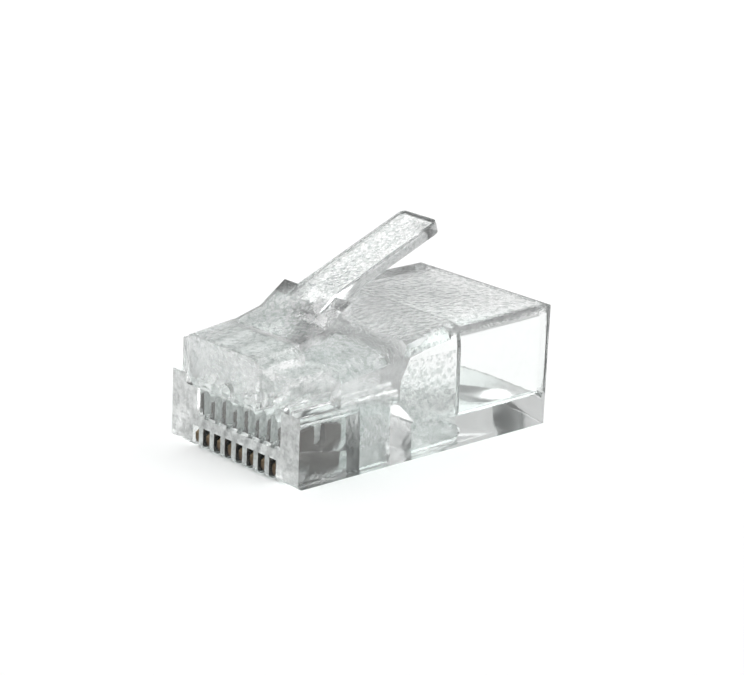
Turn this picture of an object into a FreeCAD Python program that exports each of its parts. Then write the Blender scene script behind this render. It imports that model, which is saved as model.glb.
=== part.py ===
import FreeCAD, Part
import os
import Sketcher

# RJ45 modular plug, 8 positions and 8 contacts, as supplied before it is crimped on a cable.
# +X is the plug's right, +Y points to the cable end, +Z is up, away from the contact side that
# it rests on. The origin is the centre of the contact side. Lengths along the plug are measured
# from the face of the contact comb, which lies `chin_reach` behind the front of the nose block.

SIZES = {
    # the moulded housing
    "plug_width": 11.68,
    "plug_length": 21.46,
    "body_height": 7.75,
    "nose_height": 6.6,
    "ramp_end": 11.8,
    "bevel_width": 0.94,
    "bevel_drop": 0.69,
    "shoulder_height": 4.42,
    "shoulder_length": 3.1,
    "shoulder_width": 0.94,
    "nose_round": 0.4,
    # the nose block that carries the latch
    "chin_reach": 1.08,
    "chin_inset": 2.33,
    "chin_low": 4.35,
    "chin_front_rise": 0.83,
    "chin_bevel": 0.5,
    "chin_edge_round": 0.45,
    "gate_x": 0.75,
    "gate_z": 4.95,
    "gate_radius": 0.5,
    "gate_height": 0.28,
    "gate_round": 0.18,
    # the latch's root and the round seat that it turns in
    "root_y": 2.42,
    "root_rise": 0.9,
    "root_radius": 0.3,
    "root_clearance": 0.03,
    "cradle_back": 0.12,
    # the latch, measured from the centre of its root: wide arm, locking ears and thumb tab
    "latch_inset": 2.83,
    "ear_front": 1.88,
    "ear_front_rise": 0.78,
    "ear_back": 3.8,
    "ear_top_rise": 2.12,
    "ear_low_rise": 0.85,
    "ear_toe": 2.27,
    "ear_toe_rise": 0.29,
    "tab_width": 3.25,
    "tab_foot": 2.08,
    "tab_step": 2.88,
    "tab_step_rise": 1.72,
    "tab_base": 3.93,
    "tab_base_rise": 2.38,
    "tab_root": 4.48,
    "tab_root_rise": 1.2,
    "tab_under": 6.18,
    "tab_under_rise": 2.4,
    "tab_reach": 12.03,
    "tab_rise": 5.65,
    "tab_tip_thickness": 0.82,
    "tab_tip_lean": 0.25,
    "tab_edge_round": 0.15,
    "tab_corner_round": 0.45,
    # the contact comb: slots, front wall and wire channels
    "contact_pitch": 1.016,
    "contact_count": 8,
    "row_count": 4,
    "window_width": 0.62,
    "window_height": 1.35,
    "window_rise": 0.65,
    "front_wall": 1.0,
    "slot_end": 4.6,
    "channel_diameter": 0.98,
    "channel_high_z": 4.12,
    "channel_low_z": 3.84,
    "channel_end": 8.6,
    # the contacts
    "contact_thickness": 0.35,
    "contact_clearance": 0.03,
    "contact_gap": 0.06,
    "contact_length": 3.2,
    "contact_low_z": 0.06,
    "contact_toe": 0.14,
    "contact_toe_top": 0.88,
    "contact_toe_root": 1.45,
    "contact_tall_z": 3.6,
    "contact_short_z": 3.32,
    "contact_toe_round": 0.55,
    "notch_radius": 0.4,
    "notch_depth": 0.95,
    "tooth_slope": 0.3,
    "barb_low": 1.75,
    "barb_high": 2.35,
    "barb_depth": 0.16,
    # the conductor bar and its pocket
    "pocket_front": 5.5,
    "pocket_back": 7.9,
    "pocket_width": 8.3,
    "bar_clearance": 0.12,
    "bar_low_z": 0.1,
    "wire_bar_top_z": 3.05,
    "wire_bar_bevel": 0.55,
    "wire_bar_foot": 1.1,
    # the cable cavity and its throat
    "side_wall": 0.94,
    "cavity_floor": 1.7,
    "cavity_front": 13.2,
    "cavity_corner": 0.6,
    "roof_thickness": 0.55,
    "mouth_bevel": 0.4,
    "throat_inset": 1.59,
    "throat_lip": 0.06,
    "throat_floor_y": 10.2,
    "throat_roof_y": 9.4,
    "throat_roof_drop": 1.0,
    "throat_back_drop": 0.2,
    # the jacket bar, its window and the round seat of its heel
    "window_front": 9.95,
    "window_back": 13.6,
    "jacket_bar_width": 6.6,
    "heel_radius": 0.42,
    "heel_inset": 0.1,
    "heel_clearance": 0.03,
    "heel_step": 0.35,
    "jacket_bar_nose_z": 1.0,
    "jacket_bar_tip_z": 2.35,
    "jacket_bar_lean": 0.9,
    "jacket_bar_heel_z": 1.2,
    "jacket_bar_heel_y": 0.65,
}

doc = FreeCAD.newDocument("modular_plug")
sheet = doc.addObject("Spreadsheet::Sheet", "sizes")
for row, (alias, size) in enumerate(SIZES.items(), start=1):
    sheet.set("A%d" % row, alias)
    sheet.set("B%d" % row, str(size))
    sheet.setAlias("B%d" % row, alias)
doc.recompute()

# Places that several pieces share, written as expressions on the sheet.
COMB_Y = "(sizes.chin_reach + sizes.gate_height / 2 - sizes.plug_length / 2)"
BODY_BACK = "(sizes.plug_length - sizes.chin_reach)"
FIRST_CONTACT_X = "(-(sizes.contact_count - 1) / 2 * sizes.contact_pitch)"
ROOT_Z = "(sizes.nose_height + sizes.root_rise)"
CAVITY_WIDTH = "(sizes.plug_width - 2 * sizes.side_wall)"
CHIN_WIDTH = "(sizes.plug_width - 2 * sizes.chin_inset)"
LATCH_WIDTH = "(sizes.plug_width - 2 * sizes.latch_inset)"
THROAT_WIDTH = "(sizes.plug_width - 2 * sizes.throat_inset)"
CAVITY_ROOF = "(sizes.body_height - sizes.roof_thickness)"
CONTACT_FRONT = "(sizes.front_wall + sizes.contact_gap)"
HEEL_Y = "(sizes.window_back - sizes.heel_inset)"
HEEL_Z = "(sizes.bar_low_z + sizes.heel_radius)"


def value(expression):
    """The present value of an expression, in millimetres."""
    result = sheet.evalExpression(expression)
    return float(getattr(result, "Value", result))


def new_body(label, x="0"):
    """A body whose own Y runs back from the face of the contact comb."""
    body = doc.addObject("PartDesign::Body", label)
    body.Label = label
    body.setExpression("Placement.Base.x", x)
    body.setExpression("Placement.Base.y", COMB_Y)
    return body


def origin_part(body, role):
    for feature in body.Origin.OriginFeatures:
        if feature.Role == role:
            return feature
    raise ValueError(role)


def new_sketch(body, name, plane, offset=None):
    sketch = body.newObject("Sketcher::SketchObject", name)
    sketch.AttachmentSupport = [(origin_part(body, plane), "")]
    sketch.MapMode = "FlatFace"
    if offset is not None:
        sketch.setExpression("AttachmentOffset.Base.z", offset)
    return sketch


def hold(sketch, kind, references, expression):
    """A dimension in a sketch, bound to an expression on the sheet."""
    index = sketch.addConstraint(Sketcher.Constraint(kind, *references, value(expression)))
    sketch.setExpression("Constraints[%d]" % index, expression)


def outline(body, name, plane, corners, offset=None):
    """A closed run of straight edges through corners given as pairs of expressions."""
    sketch = new_sketch(body, name, plane, offset)
    points = [FreeCAD.Vector(value(across), value(up), 0) for across, up in corners]
    edges = []
    for start, end in zip(points, points[1:] + points[:1]):
        edges.append(sketch.addGeometry(Part.LineSegment(start, end), False))
    for before, after in zip(edges, edges[1:] + edges[:1]):
        sketch.addConstraint(Sketcher.Constraint("Coincident", before, 2, after, 1))
    for edge, (across, up) in zip(edges, corners):
        hold(sketch, "DistanceX", (-1, 1, edge, 1), across)
        hold(sketch, "DistanceY", (-1, 1, edge, 1), up)
    return sketch


def circle(body, name, plane, centre, radius, offset=None):
    sketch = new_sketch(body, name, plane, offset)
    middle = FreeCAD.Vector(value(centre[0]), value(centre[1]), 0)
    round_edge = Part.Circle(middle, FreeCAD.Vector(0, 0, 1), value(radius))
    edge = sketch.addGeometry(round_edge, False)
    hold(sketch, "DistanceX", (-1, 1, edge, 3), centre[0])
    hold(sketch, "DistanceY", (-1, 1, edge, 3), centre[1])
    hold(sketch, "Radius", (edge,), radius)
    return sketch


def pad(body, name, sketch, width):
    """Material on both sides of a sketch."""
    feature = body.newObject("PartDesign::Pad", name)
    feature.Profile = sketch
    feature.SideType = "Symmetric"
    feature.setExpression("Length", width)
    doc.recompute()
    return feature


def cut(body, name, sketch, length, symmetric=True):
    """A pocket that must take material away: on both sides of a sketch, or behind it."""
    before = body.Shape.Volume
    feature = body.newObject("PartDesign::Pocket", name)
    feature.Profile = sketch
    if symmetric:
        feature.SideType = "Symmetric"
    feature.setExpression("Length", length)
    doc.recompute()
    if not body.Shape.Volume < before:
        raise ValueError(name + " cuts nothing")
    return feature


def repeat_along_x(body, name, original, span, count):
    feature = body.newObject("PartDesign::LinearPattern", name)
    feature.Originals = [original]
    feature.Direction = (origin_part(body, "X_Axis"), [""])
    feature.setExpression("Length", span)
    feature.setExpression("Occurrences", count)
    body.Tip = feature
    doc.recompute()
    return feature


def mirror_across_x(body, name, originals):
    feature = body.newObject("PartDesign::Mirrored", name)
    feature.Originals = originals
    feature.MirrorPlane = (origin_part(body, "YZ_Plane"), [""])
    body.Tip = feature
    doc.recompute()
    return feature


def edges_where(feature, test):
    """Names of the straight edges whose two ends and middle pass a test."""
    names = []
    for number, edge in enumerate(feature.Shape.Edges, start=1):
        if len(edge.Vertexes) == 2 and test(edge.Vertexes[0].Point, edge.Vertexes[1].Point):
            names.append("Edge%d" % number)
    return names


def dress(body, kind, name, base, edges, radius):
    """A fillet or a chamfer on named edges."""
    feature = body.newObject("PartDesign::" + kind, name)
    feature.Base = (base, edges)
    feature.setExpression("Radius" if kind == "Fillet" else "Size", radius)
    doc.recompute()
    return feature


def near(one, other):
    return abs(one - other) < 1e-4


# Housing. One injection moulding in clear polycarbonate: a box with a ramped top, notched
# shoulders beside the nose, and bevels along the ramp's edges.
housing = new_body("housing")
side_view = [("0", "0"),
             (BODY_BACK, "0"),
             (BODY_BACK, "sizes.body_height"),
             ("sizes.ramp_end", "sizes.body_height"),
             ("sizes.shoulder_length", "sizes.nose_height"),
             ("0", "sizes.nose_height")]
block = pad(housing, "block", outline(housing, "block_side", "YZ_Plane", side_view),
            "sizes.plug_width")
front_foot = edges_where(block, lambda start, end: near(start.y, 0) and near(end.y, 0)
                         and near(start.z, 0) and near(end.z, 0))
dress(housing, "Fillet", "nose_round", block, front_foot, "sizes.nose_round")

# The shoulders: the nose steps in to a narrower top on each side.
notch_in = "sizes.plug_width / 2 - sizes.shoulder_width"
notch_out = "sizes.plug_width / 2 + sizes.shoulder_width"
notch = [(notch_in, "sizes.shoulder_height"),
         (notch_out, "sizes.shoulder_height"),
         (notch_out, "sizes.body_height"),
         (notch_in, "sizes.body_height")]
shoulder = cut(housing, "shoulder", outline(housing, "shoulder_front", "XZ_Plane", notch),
               "sizes.shoulder_length", symmetric=False)

# The bevels: a wedge between two like triangles, one at the shoulders and one at the ramp's end.
bevel_in = "sizes.plug_width / 2 - sizes.bevel_width"
bevel_out = "sizes.plug_width / 2 + sizes.bevel_width"


def bevel_section(name, top, place):
    corners = [(bevel_in, top),
               (bevel_out, top + " - 2 * sizes.bevel_drop"),
               (bevel_out, top + " + 2 * sizes.bevel_drop")]
    return outline(housing, name, "XZ_Plane", corners, "-" + place)


bevel = housing.newObject("PartDesign::SubtractiveLoft", "bevel")
bevel.Profile = bevel_section("bevel_front", "sizes.nose_height", "sizes.shoulder_length")
bevel.Sections = [bevel_section("bevel_back", "sizes.body_height", "sizes.ramp_end")]
bevel.Ruled = True
doc.recompute()
mirror_across_x(housing, "left_side", [shoulder, bevel])

# The nose block: it stands forward of the comb and carries the latch's root.
chin_side = [("-sizes.chin_reach", "sizes.chin_low"),
             ("-sizes.chin_reach", "sizes.nose_height + sizes.chin_front_rise"),
             ("sizes.root_y - sizes.cradle_back", ROOT_Z + " + sizes.root_radius"),
             ("sizes.root_y - sizes.cradle_back", "sizes.chin_low")]
chin = pad(housing, "chin", outline(housing, "chin_side", "YZ_Plane", chin_side),
           CHIN_WIDTH)
chin_x = value(CHIN_WIDTH + " / 2")
chin_y = -value("sizes.chin_reach")
chin_low = value("sizes.chin_low")
chin_top = value("sizes.nose_height + sizes.chin_front_rise")


def along_chin_top(start, end):
    on_side = near(abs(start.x), chin_x) and near(start.x, end.x)
    return on_side and min(start.z, end.z) > chin_top - 1e-4


def chin_corner(start, end):
    on_side = near(abs(start.x), chin_x) and near(start.x, end.x)
    upright = near(start.y, chin_y) and near(end.y, chin_y)
    lower = near(start.z, chin_low) and near(end.z, chin_low)
    return on_side and (upright or lower)


top_bevel = dress(housing, "Chamfer", "chin_bevel", chin, edges_where(chin, along_chin_top),
                  "sizes.chin_bevel")
dress(housing, "Fillet", "chin_round", top_bevel, edges_where(top_bevel, chin_corner),
      "sizes.chin_edge_round")

# The vestige of the moulding gate, a low button on the front of the nose block.
gate = circle(housing, "gate_front", "XZ_Plane", ("sizes.gate_x", "sizes.gate_z"),
              "sizes.gate_radius")
button = pad(housing, "gate", gate, "2 * (sizes.chin_reach + sizes.gate_height)")
gate_y = chin_y - value("sizes.gate_height")
rim = ["Edge%d" % number for number, edge in enumerate(button.Shape.Edges, start=1)
       if near(edge.BoundBox.YMax, gate_y) and near(edge.BoundBox.YMin, gate_y)]
dress(housing, "Fillet", "gate_round", button, rim, "sizes.gate_round")

# The round seat behind the nose block, where the latch's root turns.
seat = circle(housing, "root_seat_side", "YZ_Plane", ("sizes.root_y", ROOT_Z),
              "sizes.root_radius + sizes.root_clearance")
cut(housing, "root_seat", seat, CHIN_WIDTH)

# The contact comb. Each position has a window that is open to the front and to the contact
# side, a narrow slot above it that guides the contact, and a blind bore for the conductor.
# The bores lie in two rows, high and low by turns, so that their walls meet no neighbour.
windows = [("0", "0"),
           ("sizes.slot_end", "0"),
           ("sizes.slot_end", "sizes.window_height"),
           ("sizes.front_wall", "sizes.window_height + sizes.window_rise"),
           ("0", "sizes.window_height")]
window = cut(housing, "window", outline(housing, "window_side", "YZ_Plane", windows, FIRST_CONTACT_X),
             "sizes.window_width")
all_positions = "sizes.contact_pitch * (sizes.contact_count - 1)"
repeat_along_x(housing, "windows", window, all_positions, "sizes.contact_count")
slots = [("sizes.front_wall", "sizes.window_height"),
         ("sizes.slot_end", "sizes.window_height"),
         ("sizes.slot_end", "sizes.channel_low_z"),
         ("sizes.front_wall", "sizes.channel_low_z")]
slot = cut(housing, "slot", outline(housing, "slot_side", "YZ_Plane", slots, FIRST_CONTACT_X),
           "sizes.contact_thickness + 2 * sizes.contact_clearance")
repeat_along_x(housing, "slots", slot, all_positions, "sizes.contact_count")
one_row = "2 * sizes.contact_pitch * (sizes.row_count - 1)"
for row_name, first_x, height in (
        ("high", FIRST_CONTACT_X, "sizes.channel_high_z"),
        ("low", FIRST_CONTACT_X + " + sizes.contact_pitch", "sizes.channel_low_z")):
    bore = circle(housing, row_name + "_bore", "XZ_Plane", (first_x, height),
                  "sizes.channel_diameter / 2", "-sizes.front_wall")
    channel = cut(housing, row_name + "_channel", bore, "sizes.channel_end - sizes.front_wall",
                  symmetric=False)
    repeat_along_x(housing, row_name + "_channels", channel, one_row, "sizes.row_count")

# The pocket of the conductor bar, open to the contact side and to the conductors above it.
bar_pocket = [("sizes.pocket_front", "0"),
              ("sizes.pocket_back", "0"),
              ("sizes.pocket_back", "sizes.channel_low_z"),
              ("sizes.pocket_front", "sizes.channel_low_z")]
cut(housing, "bar_pocket", outline(housing, "bar_pocket_side", "YZ_Plane", bar_pocket),
    "sizes.pocket_width")

# The cable cavity: a wide mouth at the back, and a throat that leads the conductors up and
# together into the bores.
throat = [("sizes.channel_end", "sizes.channel_low_z - sizes.channel_diameter / 2 - sizes.throat_lip"),
          ("sizes.throat_floor_y", "sizes.cavity_floor"),
          ("sizes.cavity_front", "sizes.cavity_floor"),
          ("sizes.cavity_front", CAVITY_ROOF + " - sizes.throat_back_drop"),
          ("sizes.throat_roof_y", CAVITY_ROOF + " - sizes.throat_roof_drop"),
          ("sizes.channel_end", "sizes.channel_high_z + sizes.channel_diameter / 2 + sizes.throat_lip")]
cut(housing, "throat", outline(housing, "throat_side", "YZ_Plane", throat), THROAT_WIDTH)
cavity_side = [("sizes.cavity_front", "sizes.cavity_floor"),
               (BODY_BACK, "sizes.cavity_floor"),
               (BODY_BACK, CAVITY_ROOF),
               ("sizes.cavity_front", CAVITY_ROOF)]
cavity = cut(housing, "cavity", outline(housing, "cavity_side", "YZ_Plane", cavity_side),
             CAVITY_WIDTH)
cavity_x = value(CAVITY_WIDTH + " / 2")
cavity_levels = (value("sizes.cavity_floor"), value(CAVITY_ROOF))
back_y = value(BODY_BACK)


def cavity_corner(start, end):
    level = any(near(start.z, height) for height in cavity_levels)
    return level and near(start.z, end.z) and near(abs(start.x), cavity_x) and near(start.x, end.x)


def mouth_rim(start, end):
    inside = max(abs(start.x), abs(end.x)) < cavity_x + 1e-4
    return inside and near(start.y, back_y) and near(end.y, back_y)


rounded = dress(housing, "Fillet", "cavity_round", cavity, edges_where(cavity, cavity_corner),
                "sizes.cavity_corner")
dress(housing, "Chamfer", "mouth", rounded, edges_where(rounded, mouth_rim), "sizes.mouth_bevel")

# The window of the jacket bar in the floor, with a round seat for the bar's heel.
bar_window = [("sizes.window_front", "0"),
              ("sizes.window_back", "0"),
              ("sizes.window_back", "sizes.cavity_floor + sizes.bar_clearance"),
              ("sizes.window_front", "sizes.cavity_floor + sizes.bar_clearance")]
window_width = "sizes.jacket_bar_width + 2 * sizes.bar_clearance"
cut(housing, "bar_window", outline(housing, "bar_window_side", "YZ_Plane", bar_window), window_width)
heel_seat = circle(housing, "heel_seat_side", "YZ_Plane", (HEEL_Y, HEEL_Z),
                   "sizes.heel_radius + sizes.heel_clearance")
cut(housing, "heel_seat", heel_seat, window_width)

# Latch. Moulded with the housing in the same clear plastic: a wide arm that springs from the
# nose block, two locking ears, and a narrower tab for the thumb that widens to its end.
latch = new_body("latch")


def from_root(along, rise):
    """A point of the latch, measured from the centre of its root."""
    return "sizes.root_y + " + along, ROOT_Z + " + " + rise


arm = [("sizes.root_y", ROOT_Z + " + sizes.root_radius"),
       from_root("sizes.ear_front", "sizes.ear_front_rise"),
       from_root("sizes.ear_back", "sizes.ear_top_rise"),
       from_root("sizes.ear_back", "sizes.ear_low_rise"),
       from_root("sizes.ear_toe", "sizes.ear_toe_rise"),
       ("sizes.root_y", ROOT_Z + " - sizes.root_radius")]
pad(latch, "arm", outline(latch, "arm_side", "YZ_Plane", arm), LATCH_WIDTH)
root = circle(latch, "root_side", "YZ_Plane", ("sizes.root_y", ROOT_Z), "sizes.root_radius")
pad(latch, "root", root, LATCH_WIDTH)
tip = "sizes.tab_reach + sizes.tab_tip_lean", "sizes.tab_rise - sizes.tab_tip_thickness"
tab = [from_root("sizes.tab_foot", "sizes.ear_front_rise"),
       from_root("sizes.tab_step", "sizes.tab_step_rise"),
       from_root("sizes.tab_base", "sizes.tab_base_rise"),
       from_root("sizes.tab_reach", "sizes.tab_rise"),
       from_root(*tip),
       from_root("sizes.tab_under", "sizes.tab_under_rise"),
       from_root("sizes.tab_root", "sizes.tab_root_rise"),
       from_root("sizes.ear_toe", "sizes.ear_toe_rise")]
tab_pad = pad(latch, "tab", outline(latch, "tab_side", "YZ_Plane", tab), "sizes.tab_width")
tab_x = value("sizes.tab_width / 2")
tab_end = value("sizes.root_y + sizes.tab_reach")
tab_rise_y = value("sizes.root_y + sizes.tab_base")
corner_round = value("sizes.tab_corner_round")


def on_side(start, end):
    return near(abs(start.x), tab_x) and near(start.x, end.x)


def tab_corner(start, end):
    return on_side(start, end) and min(start.y, end.y) > tab_end - 1e-4


def tab_edge(start, end):
    long_edge = abs(end.y - start.y) > corner_round
    return long_edge and on_side(start, end) and min(start.y, end.y) > tab_rise_y - 1e-4


corners = dress(latch, "Fillet", "tab_corners", tab_pad, edges_where(tab_pad, tab_corner),
                "sizes.tab_corner_round")
dress(latch, "Fillet", "tab_round", corners, edges_where(corners, tab_edge), "sizes.tab_edge_round")


# Contacts. Stamped from phosphor bronze strip and gold plated: a flat blade with a rounded toe
# that a jack's wire rides on, a barb that holds it in its slot, and two teeth that pierce the
# conductor when the blade is driven home.
def contact(label, x, top):
    body = new_body(label, x)
    back = CONTACT_FRONT + " + sizes.contact_length"
    middle = CONTACT_FRONT + " + sizes.contact_length / 2"
    blade = [("sizes.contact_toe", "sizes.contact_low_z"),
             (back, "sizes.contact_low_z"),
             (back, top + " - sizes.tooth_slope"),
             (middle, top),
             (CONTACT_FRONT, top + " - sizes.tooth_slope"),
             (CONTACT_FRONT, "sizes.contact_toe_root"),
             ("sizes.contact_toe", "sizes.contact_toe_top")]
    plate = pad(body, "blade", outline(body, "blade_side", "YZ_Plane", blade),
                "sizes.contact_thickness")
    low = value("sizes.contact_low_z")
    front = value("sizes.contact_toe")
    toe = edges_where(plate, lambda start, end: near(start.y, front) and near(end.y, front)
                      and near(start.z, low) and near(end.z, low))
    dress(body, "Fillet", "toe", plate, toe, "sizes.contact_toe_round")
    valley = top + " - sizes.notch_depth"
    cut(body, "valley", circle(body, "valley_side", "YZ_Plane", (middle, valley),
                               "sizes.notch_radius"), "2 * sizes.contact_thickness")
    notch_left = middle + " - sizes.notch_radius"
    notch_right = middle + " + sizes.notch_radius"
    gap = [(notch_left, valley),
           (notch_right, valley),
           (notch_right, top),
           (notch_left, top)]
    cut(body, "gap", outline(body, "gap_side", "YZ_Plane", gap), "2 * sizes.contact_thickness")
    barb_back = CONTACT_FRONT + " + sizes.barb_depth"
    barb = [(CONTACT_FRONT, "sizes.barb_low"),
            (barb_back, "sizes.barb_low"),
            (barb_back, "sizes.barb_high"),
            (CONTACT_FRONT, "sizes.barb_high")]
    cut(body, "barb", outline(body, "barb_side", "YZ_Plane", barb), "2 * sizes.contact_thickness")
    return body


contacts = []
for index in range(int(value("sizes.contact_count"))):
    top = "sizes.contact_tall_z" if index % 2 == 0 else "sizes.contact_short_z"
    place = FIRST_CONTACT_X + " + %d * sizes.contact_pitch" % index
    contacts.append(contact("contact_%d" % (index + 1), place, top))

# Conductor bar. A wedge of the same clear plastic that the crimping tool pushes up behind the
# contacts, so that it grips the eight insulated conductors.
conductor_bar = new_body("conductor_bar")
bar_front = "sizes.pocket_front + sizes.bar_clearance"
bar_back = "sizes.pocket_back - sizes.bar_clearance"
wedge = [(bar_front, "sizes.bar_low_z"),
         (bar_back, "sizes.bar_low_z"),
         (bar_back, "sizes.wire_bar_foot"),
         (bar_back + " - sizes.wire_bar_bevel", "sizes.wire_bar_top_z"),
         (bar_front + " + sizes.wire_bar_bevel", "sizes.wire_bar_top_z"),
         (bar_front, "sizes.wire_bar_foot")]
pad(conductor_bar, "wedge", outline(conductor_bar, "wedge_side", "YZ_Plane", wedge),
    "sizes.pocket_width - 2 * sizes.bar_clearance")

# Jacket bar. It turns up about its heel when the tool presses it, and its edge bites the jacket.
jacket_bar = new_body("jacket_bar")
bar_tip = "sizes.window_front + sizes.bar_clearance"
bar_side = [(bar_tip, "sizes.bar_low_z"),
            (HEEL_Y, "sizes.bar_low_z"),
            (HEEL_Y, HEEL_Z),
            (HEEL_Y + " - sizes.heel_step", HEEL_Z + " + sizes.heel_radius"),
            (HEEL_Y + " - sizes.jacket_bar_heel_y", "sizes.jacket_bar_heel_z"),
            (bar_tip + " + sizes.jacket_bar_lean", "sizes.jacket_bar_tip_z"),
            (bar_tip, "sizes.jacket_bar_nose_z")]
pad(jacket_bar, "plate", outline(jacket_bar, "plate_side", "YZ_Plane", bar_side),
    "sizes.jacket_bar_width")
heel = circle(jacket_bar, "heel_side", "YZ_Plane", (HEEL_Y, HEEL_Z), "sizes.heel_radius")
pad(jacket_bar, "heel", heel, "sizes.jacket_bar_width")

doc.recompute()
for item in doc.Objects:
    if "Invalid" in item.State or "Error" in item.State:
        raise ValueError(item.Label + " failed: " + str(item.State))

os.makedirs("parts", exist_ok=True)
for body in [housing, latch, conductor_bar, jacket_bar] + contacts:
    shape = body.Shape
    if shape.isNull() or not shape.isValid() or len(shape.Solids) != 1:
        raise ValueError(body.Label + " is not one sound solid")
    shape.exportStep(os.path.join("parts", body.Label + ".step"))
    box = shape.BoundBox
    print("%-14s %8.3f mm3  x %.2f..%.2f  y %.2f..%.2f  z %.2f..%.2f" % (
        body.Label, shape.Volume, box.XMin, box.XMax, box.YMin, box.YMax, box.ZMin, box.ZMax))
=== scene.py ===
import math

import bmesh
import bpy
from mathutils import Matrix, Vector


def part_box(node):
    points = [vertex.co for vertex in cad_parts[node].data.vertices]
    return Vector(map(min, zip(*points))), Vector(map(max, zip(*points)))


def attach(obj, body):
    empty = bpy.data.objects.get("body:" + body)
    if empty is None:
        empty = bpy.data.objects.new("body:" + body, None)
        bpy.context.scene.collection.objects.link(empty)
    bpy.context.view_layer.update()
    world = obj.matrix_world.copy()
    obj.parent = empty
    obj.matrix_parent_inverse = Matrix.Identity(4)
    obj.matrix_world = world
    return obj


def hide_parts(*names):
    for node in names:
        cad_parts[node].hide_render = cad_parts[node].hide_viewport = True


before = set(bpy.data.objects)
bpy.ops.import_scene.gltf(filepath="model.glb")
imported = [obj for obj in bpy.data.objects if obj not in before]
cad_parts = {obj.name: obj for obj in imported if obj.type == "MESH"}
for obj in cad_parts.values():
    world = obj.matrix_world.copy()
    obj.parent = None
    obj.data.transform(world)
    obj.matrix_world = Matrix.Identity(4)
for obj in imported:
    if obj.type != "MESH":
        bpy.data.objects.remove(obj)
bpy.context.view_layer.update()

# Housing: the plug's body, with its contact comb, wire channels, nose block and cable cavity.
# It is one injection moulding in clear polycarbonate with a faint grey-green cast: finely
# stippled outside, frosted on the comb's face, polished in the cavity, its edges slightly eased.
# The roofs of the comb's window openings above the toes are darkened with painted shade.
MM = 0.001
POLYCARBONATE_IOR = 1.586
GREY_GREEN_CAST = (0.965, 0.985, 0.978, 1)
SHADOW_CAST = (0.88, 0.90, 0.895, 1)
PLAIN_CLEARNESS = 0.965
GLOSS_ROUGHNESS = 0.02

STIPPLE_DETAIL = 3
STIPPLE_ROUGHNESS = 0.6
STIPPLE_SHADE_FROM, STIPPLE_SHADE_TO = 0.42, 0.51
STIPPLE_STARTS = 4.6 * MM
STIPPLE_FULL = 6.2 * MM
STIPPLE_LEAST = 0.12
POLISHED_STIPPLE = 0.05
MILK_CAST = (0.975, 1.0, 0.99)
FLECK_FROM, FLECK_TO = 0.35, 0.65
FLECK_DARK, FLECK_LIGHT = 0.72, 1.2

SINK_SCALE = 420
SINK_DETAIL = 2
SINK_STRENGTH = 0.3
SINK_DEPTH = 0.06 * MM

EASED_EDGE = 0.07 * MM
EASED_SEGMENTS = 2
EASED_ANGLE = math.radians(38)
WELD_DISTANCE = 0.001 * MM
FLAT_ANGLE = math.radians(0.5)


def link(tree, *pairs):
    for source, target in pairs:
        tree.links.new(source, target)


def vector_step(tree, operation, source, amount=None):
    """A source vector put through one operation, with a fixed vector where it needs one."""
    step = tree.nodes.new("ShaderNodeVectorMath")
    step.operation = operation
    if amount is not None:
        step.inputs[1].default_value = amount
    tree.links.new(source, step.inputs[0])
    return step.outputs["Vector"]


def larger(tree, first, second=None):
    """The larger of two factors, or of one factor and 0."""
    pick = tree.nodes.new("ShaderNodeMath")
    pick.operation = "MAXIMUM"
    pick.inputs[1].default_value = 0
    tree.links.new(first, pick.inputs[0])
    if second is not None:
        tree.links.new(second, pick.inputs[1])
    return pick.outputs["Value"]


def largest(tree, factors):
    """The largest of some factors, or None where there are none."""
    result = None
    for factor in factors:
        result = larger(tree, factor, result)
    return result


def ramp_between(tree, source, from_low, from_high, to_low, to_high):
    """A factor scaled from one range to another, and held inside it."""
    scaled = tree.nodes.new("ShaderNodeMapRange")
    scaled.inputs["From Min"].default_value = from_low
    scaled.inputs["From Max"].default_value = from_high
    scaled.inputs["To Min"].default_value = to_low
    scaled.inputs["To Max"].default_value = to_high
    tree.links.new(source, scaled.inputs["Value"])
    return scaled.outputs["Result"]


def zone(across, along, up, start=0.0):
    """The low and high corner of a box, from its spans in millimetres and where its length starts."""
    low, high = ((across[end] * MM, start + along[end] * MM, up[end] * MM) for end in (0, 1))
    return low, high


def inside_zone(tree, point, low, high):
    """A factor that is 1 inside a box in the part's own space and 0 outside it."""
    middle = [(l + h) / 2 for l, h in zip(low, high)]
    half = [(h - l) / 2 for l, h in zip(low, high)]
    from_middle = vector_step(tree, "SUBTRACT", point, middle)
    share = vector_step(tree, "ABSOLUTE", vector_step(tree, "DIVIDE", from_middle, half))
    parts = tree.nodes.new("ShaderNodeSeparateXYZ")
    tree.links.new(share, parts.inputs["Vector"])
    within = tree.nodes.new("ShaderNodeMath")
    within.operation = "LESS_THAN"
    within.inputs[1].default_value = 1
    tree.links.new(largest(tree, [parts.outputs[axis] for axis in "XYZ"]), within.inputs[0])
    return within.outputs["Value"]


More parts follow.
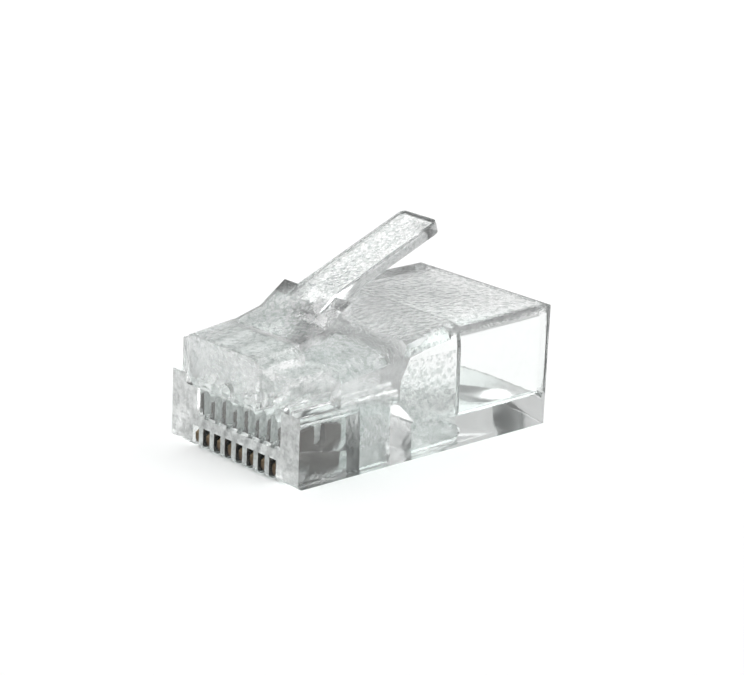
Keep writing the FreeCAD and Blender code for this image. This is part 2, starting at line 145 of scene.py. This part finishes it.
def clear_polycarbonate(name, stipple_shade, stipple_scale, stipple_depth, mattness,
                        matt_zones=(), milky_and_shaded_zones=(), polished_zones=()):
    """Clear moulded plastic, stippled towards the top. It is matt in some zones and polished in
    others. Each milky zone comes with its tone and how clear it stays, and is matt as well;
    a dark tone there, as on the window roofs, is painted shade."""
    material = bpy.data.materials.new(name)
    material.use_nodes = True
    tree = material.node_tree
    nodes = tree.nodes
    nodes.clear()
    point = nodes.new("ShaderNodeTexCoord").outputs["Object"]

    stipple = nodes.new("ShaderNodeTexNoise")
    stipple.inputs["Scale"].default_value = stipple_scale
    stipple.inputs["Detail"].default_value = STIPPLE_DETAIL
    stipple.inputs["Roughness"].default_value = STIPPLE_ROUGHNESS
    sink = nodes.new("ShaderNodeTexNoise")
    sink.inputs["Scale"].default_value = SINK_SCALE
    sink.inputs["Detail"].default_value = SINK_DETAIL
    shade = nodes.new("ShaderNodeValToRGB")
    shade.color_ramp.elements[0].position = STIPPLE_SHADE_FROM
    shade.color_ramp.elements[0].color = stipple_shade
    shade.color_ramp.elements[1].position = STIPPLE_SHADE_TO
    shade.color_ramp.elements[1].color = (1, 1, 1, 1)
    place = nodes.new("ShaderNodeSeparateXYZ")
    link(tree,
         (point, stipple.inputs["Vector"]),
         (point, sink.inputs["Vector"]),
         (point, place.inputs["Vector"]),
         (stipple.outputs["Fac"], shade.inputs["Fac"]))

    # The stipple grows with height, fades where the mould is polished and is full where it is matt.
    strength = ramp_between(tree, place.outputs["Z"], STIPPLE_STARTS, STIPPLE_FULL, STIPPLE_LEAST, 1)
    polished = largest(tree, [inside_zone(tree, point, *box) for box in polished_zones])
    if polished is not None:
        faded = nodes.new("ShaderNodeMix")
        faded.inputs["B"].default_value = POLISHED_STIPPLE
        link(tree, (polished, faded.inputs["Factor"]), (strength, faded.inputs["A"]))
        strength = faded.outputs["Result"]
    milky_and_shaded_masks = [inside_zone(tree, point, *box) for box, milk_and_shade_tone, milk_clearness in milky_and_shaded_zones]
    matt = largest(tree, [inside_zone(tree, point, *box) for box in matt_zones] + milky_and_shaded_masks)
    if matt is not None:
        strength = larger(tree, strength, matt)

    cast = nodes.new("ShaderNodeMix")
    cast.data_type = "RGBA"
    cast.inputs["A"].default_value = GREY_GREEN_CAST
    link(tree, (strength, cast.inputs["Factor"]), (shade.outputs["Color"], cast.inputs["B"]))
    tone = cast.outputs["Result"]
    plain = nodes.new("ShaderNodeValue")
    plain.outputs["Value"].default_value = PLAIN_CLEARNESS
    clearness = plain.outputs["Value"]
    fleck = ramp_between(tree, stipple.outputs["Fac"], FLECK_FROM, FLECK_TO, FLECK_DARK, FLECK_LIGHT)
    # A milky zone's tone is its frost's colour; the dark tone on the window roofs is painted shade.
    for inside, (box, milk_and_shade_tone, milk_clearness) in zip(milky_and_shaded_masks, milky_and_shaded_zones):
        milk_and_shade = nodes.new("ShaderNodeVectorMath")
        milk_and_shade.operation = "SCALE"
        milk_and_shade.inputs[0].default_value = [milk_and_shade_tone * part for part in MILK_CAST]
        toned = nodes.new("ShaderNodeMix")
        toned.data_type = "RGBA"
        veiled = nodes.new("ShaderNodeMix")
        veiled.inputs["B"].default_value = milk_clearness
        link(tree,
             (fleck, milk_and_shade.inputs["Scale"]),
             (inside, toned.inputs["Factor"]),
             (tone, toned.inputs["A"]),
             (milk_and_shade.outputs["Vector"], toned.inputs["B"]),
             (inside, veiled.inputs["Factor"]),
             (clearness, veiled.inputs["A"]))
        tone = toned.outputs["Result"]
        clearness = veiled.outputs["Result"]

    sink_marks = nodes.new("ShaderNodeBump")
    sink_marks.inputs["Strength"].default_value = SINK_STRENGTH
    sink_marks.inputs["Distance"].default_value = SINK_DEPTH
    skin = nodes.new("ShaderNodeBump")
    skin.inputs["Distance"].default_value = stipple_depth
    roughness = ramp_between(tree, strength, 0, 1, GLOSS_ROUGHNESS, mattness)
    body = nodes.new("ShaderNodeBsdfPrincipled")
    body.inputs["IOR"].default_value = POLYCARBONATE_IOR
    shadow = nodes.new("ShaderNodeBsdfTransparent")
    shadow.inputs["Color"].default_value = SHADOW_CAST
    ray = nodes.new("ShaderNodeLightPath")
    choose = nodes.new("ShaderNodeMixShader")
    out = nodes.new("ShaderNodeOutputMaterial")
    link(tree,
         (sink.outputs["Fac"], sink_marks.inputs["Height"]),
         (sink_marks.outputs["Normal"], skin.inputs["Normal"]),
         (stipple.outputs["Fac"], skin.inputs["Height"]),
         (strength, skin.inputs["Strength"]),
         (skin.outputs["Normal"], body.inputs["Normal"]),
         (tone, body.inputs["Base Color"]),
         (roughness, body.inputs["Roughness"]),
         (clearness, body.inputs["Transmission Weight"]),
         (ray.outputs["Is Shadow Ray"], choose.inputs["Fac"]),
         (body.outputs["BSDF"], choose.inputs[1]),
         (shadow.outputs["BSDF"], choose.inputs[2]),
         (choose.outputs["Shader"], out.inputs["Surface"]))
    return material


def eased_moulding(node, label, material):
    """A moulding with its sharp edges eased by a small round, in place of its node."""
    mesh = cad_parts[node].data.copy()
    mesh.name = label
    form = bmesh.new()
    form.from_mesh(mesh)
    bmesh.ops.remove_doubles(form, verts=form.verts, dist=WELD_DISTANCE)
    bmesh.ops.dissolve_limit(form, angle_limit=FLAT_ANGLE, verts=form.verts, edges=form.edges)
    bmesh.ops.recalc_face_normals(form, faces=form.faces)
    form.to_mesh(mesh)
    form.free()
    mesh.materials.clear()
    mesh.materials.append(material)
    for face in mesh.polygons:
        face.use_smooth = True
    piece = bpy.data.objects.new(label, mesh)
    bpy.context.collection.objects.link(piece)
    bevel = piece.modifiers.new("eased_edges", "BEVEL")
    bevel.width = EASED_EDGE
    bevel.segments = EASED_SEGMENTS
    bevel.limit_method = "ANGLE"
    bevel.angle_limit = EASED_ANGLE
    bevel.harden_normals = True
    bevel.use_clamp_overlap = True
    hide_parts(node)
    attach(piece, node)
    return piece


TOE_SETBACK = 0.14 * MM
toe_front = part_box("contact_1")[0][1]
COMB_FACE = toe_front - TOE_SETBACK
core = zone((-5.2, 5.2), (-4.9, 3.6), (1.3, 6.0))
cable_end = zone((-5.9, 5.9), (-1.5, 10.8), (0, 7.3))
tooth_faces = zone((-3.45, 4.2), (-0.1, 0.02), (-0.1, 2.0), COMB_FACE)
left_post = zone((-5.9, -3.45), (-0.1, 0.02), (-0.1, 4.4), COMB_FACE)
right_post = zone((4.2, 5.9), (-0.1, 0.02), (-0.1, 4.4), COMB_FACE)
# Painted shade: the roofs of the window openings above the toes get a dark milky tone.
shaded_window_roofs = zone((-4.3, 4.3), (0.03, 0.98), (1.42, 2.06), COMB_FACE)
blade_guides = zone((-4.2, 3.6), (1.02, 4.55), (2.06, 4.4), COMB_FACE)
housing_plastic = clear_polycarbonate(
    "housing_polycarbonate",
    stipple_shade=(0.52, 0.555, 0.545, 1),
    stipple_scale=3000,
    stipple_depth=0.085 * MM,
    mattness=0.20,
    matt_zones=[core],
    milky_and_shaded_zones=[
        (tooth_faces, 0.74, 0.45),
        (left_post, 0.70, 0.3),
        (right_post, 0.74, 0.35),
        # The window roofs' dark 0.42 tone is painted shade.
        (shaded_window_roofs, 0.42, 0.15),
        (blade_guides, 0.98, 0.15),
    ],
    polished_zones=[cable_end])
housing = eased_moulding("housing", "plug_housing", housing_plastic)

# Latch: the sprung arm on the plug's top, with two locking ears and a thumb tab.
# It is the same clear polycarbonate, moulded in one with the housing, and bends at its root.
latch_plastic = clear_polycarbonate(
    "latch_polycarbonate",
    stipple_shade=(0.54, 0.59, 0.575, 1),
    stipple_scale=4300,
    stipple_depth=0.03 * MM,
    mattness=0.06)
latch = eased_moulding("latch", "plug_latch", latch_plastic)

# Contacts: eight blades with a rounded toe, each pressed into its own slot of the comb.
# They are stamped from phosphor bronze strip and plated with gold over nickel. The plating's colour
# is painted near black as painted shade inside the clear body, with a painted highlight on the front
# of the toes.
# Painted shade: the plating's tones are near black for its place inside the clear body.
SHADED_PLATING_DARK = (0.014, 0.012, 0.010, 1)
SHADED_PLATING_LIGHT = (0.09, 0.076, 0.062, 1)
PLATING_GLOSS, PLATING_DULL = 0.22, 0.45
ROLLING_SCALE = 1500
ROLLING_DETAIL = 4
# Painted highlight: the fronts of the toes are lightened and warmed.
TOE_HIGHLIGHT = (2.7, 2.35, 1.9, 1)
TOE_HIGHLIGHT_STARTS = -9.0 * MM
TOE_HIGHLIGHT_FULL = -9.3 * MM


def gold_plating_painted_shade_and_highlight(name):
    """Gold plating over the streaks of rolled strip, painted dark as painted shade, with a painted
    highlight lightening the front of the toes.
    """
    material = bpy.data.materials.new(name)
    material.use_nodes = True
    tree = material.node_tree
    nodes = tree.nodes
    body = nodes["Principled BSDF"]
    body.inputs["Metallic"].default_value = 1.0
    point = nodes.new("ShaderNodeTexCoord").outputs["Object"]
    streaks = nodes.new("ShaderNodeTexNoise")
    streaks.inputs["Scale"].default_value = ROLLING_SCALE
    streaks.inputs["Detail"].default_value = ROLLING_DETAIL
    metal = nodes.new("ShaderNodeValToRGB")
    metal.color_ramp.elements[0].color = SHADED_PLATING_DARK
    metal.color_ramp.elements[1].color = SHADED_PLATING_LIGHT
    place = nodes.new("ShaderNodeSeparateXYZ")
    toe_highlighted = nodes.new("ShaderNodeMix")
    toe_highlighted.data_type = "RGBA"
    toe_highlighted.blend_type = "MULTIPLY"
    toe_highlighted.inputs["B"].default_value = TOE_HIGHLIGHT
    roughness = ramp_between(tree, streaks.outputs["Fac"], 0, 1, PLATING_GLOSS, PLATING_DULL)
    # The mask of the toes' painted highlight, growing towards their front.
    toe_highlight = ramp_between(tree, place.outputs["Y"], TOE_HIGHLIGHT_STARTS, TOE_HIGHLIGHT_FULL, 0, 1)
    link(tree,
         (point, streaks.inputs["Vector"]),
         (point, place.inputs["Vector"]),
         (streaks.outputs["Fac"], metal.inputs["Fac"]),
         (toe_highlight, toe_highlighted.inputs["Factor"]),
         (metal.outputs["Color"], toe_highlighted.inputs["A"]),
         (toe_highlighted.outputs["Result"], body.inputs["Base Color"]),
         (roughness, body.inputs["Roughness"]))
    return material


def finish_node(node, material):
    """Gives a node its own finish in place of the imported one."""
    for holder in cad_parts[node].material_slots:
        holder.material = material


plating = gold_plating_painted_shade_and_highlight("contact_gold_plating")
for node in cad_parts:
    if node.startswith("contact_"):
        finish_node(node, plating)

# Conductor bar and jacket bar: the two strain reliefs, which grip the wires and the jacket.
# They are the housing's own clear polycarbonate with a matt surface, and hang in its floor on
# thin webs that break when a crimping tool pushes them in.
both_bars = zone((-5, 5), (-5, 5), (0, 4))
bar_plastic = clear_polycarbonate(
    "bar_polycarbonate",
    stipple_shade=(0.50, 0.55, 0.53, 1),
    stipple_scale=3600,
    stipple_depth=0.030 * MM,
    mattness=0.26,
    matt_zones=[both_bars])
finish_node("conductor_bar", bar_plastic)
finish_node("jacket_bar", bar_plastic)

# Studio: a plain white floor just under the plug, in a pale room.
# Two softboxes add to the room's light, one above on the left and one behind.
FLOOR_HALF = 2.0
FLOOR_BELOW = 0.02 * MM
FLOOR_WHITE = (0.9, 0.9, 0.9, 1)
FLOOR_ROUGHNESS = 0.9
ROOM_STRENGTH = 0.58
PLUG_MIDDLE = Vector((0, 0, 4)) * MM

floor_mesh = bpy.data.meshes.new("floor")
floor_corners = [(x * FLOOR_HALF, y * FLOOR_HALF, 0) for x, y in ((-1, -1), (1, -1), (1, 1), (-1, 1))]
floor_mesh.from_pydata(floor_corners, [], [(0, 1, 2, 3)])
floor = bpy.data.objects.new("floor", floor_mesh)
bpy.context.collection.objects.link(floor)
floor.location.z = -FLOOR_BELOW
paper = bpy.data.materials.new("white_paper")
paper.use_nodes = True
paper_body = paper.node_tree.nodes["Principled BSDF"]
paper_body.inputs["Base Color"].default_value = FLOOR_WHITE
paper_body.inputs["Roughness"].default_value = FLOOR_ROUGHNESS
floor_mesh.materials.append(paper)

room = bpy.data.worlds.new("studio")
bpy.context.scene.world = room
room.use_nodes = True
room_light = room.node_tree.nodes["Background"]
room_light.inputs["Color"].default_value = (1, 1, 1, 1)
room_light.inputs["Strength"].default_value = ROOM_STRENGTH


def softbox(name, place, size, watts):
    """A rectangular lamp turned to the middle of the plug."""
    lamp = bpy.data.lights.new(name, "AREA")
    lamp.shape = "RECTANGLE"
    lamp.size, lamp.size_y = size
    lamp.energy = watts
    holder = bpy.data.objects.new(name, lamp)
    bpy.context.collection.objects.link(holder)
    holder.location = place
    aim = PLUG_MIDDLE - Vector(place)
    holder.rotation_euler = aim.to_track_quat("-Z", "Y").to_euler()


softbox("key_light", place=(-0.20, -0.04, 0.40), size=(0.28, 0.28), watts=1.0)
softbox("rim_light", place=(0.04, 0.44, 0.24), size=(0.40, 0.20), watts=1.1)

# Camera: a long lens off the plug's front right corner, a little above it and slightly turned.
# Light is followed through enough surfaces to reach the clear body's inner walls.
CAMERA_PLACE = Vector((109.09, -100.95, 52.48)) * MM
CAMERA_AIM = Vector((0.88, 0.49, 6.23)) * MM
CAMERA_ROLL = math.radians(2.43)
FOCAL_LENGTH = 123.79
SENSOR_WIDTH = 36
NEAREST_SEEN = 1 * MM
LIGHT_BOUNCES = 24

camera_data = bpy.data.cameras.new("camera")
camera_data.lens = FOCAL_LENGTH
camera_data.sensor_width = SENSOR_WIDTH
camera_data.clip_start = NEAREST_SEEN
camera = bpy.data.objects.new("camera", camera_data)
bpy.context.collection.objects.link(camera)
back = (CAMERA_PLACE - CAMERA_AIM).normalized()
right = Vector((0, 0, 1)).cross(back).normalized()
up = back.cross(right)
level = Matrix((right, up, back)).transposed()
turned = level @ Matrix.Rotation(CAMERA_ROLL, 3, "Z")
camera.matrix_world = Matrix.Translation(CAMERA_PLACE) @ turned.to_4x4()
bpy.context.scene.camera = camera
bpy.context.scene.view_settings.view_transform = "Standard"
bpy.context.scene.cycles.max_bounces = LIGHT_BOUNCES
bpy.context.scene.cycles.transmission_bounces = LIGHT_BOUNCES
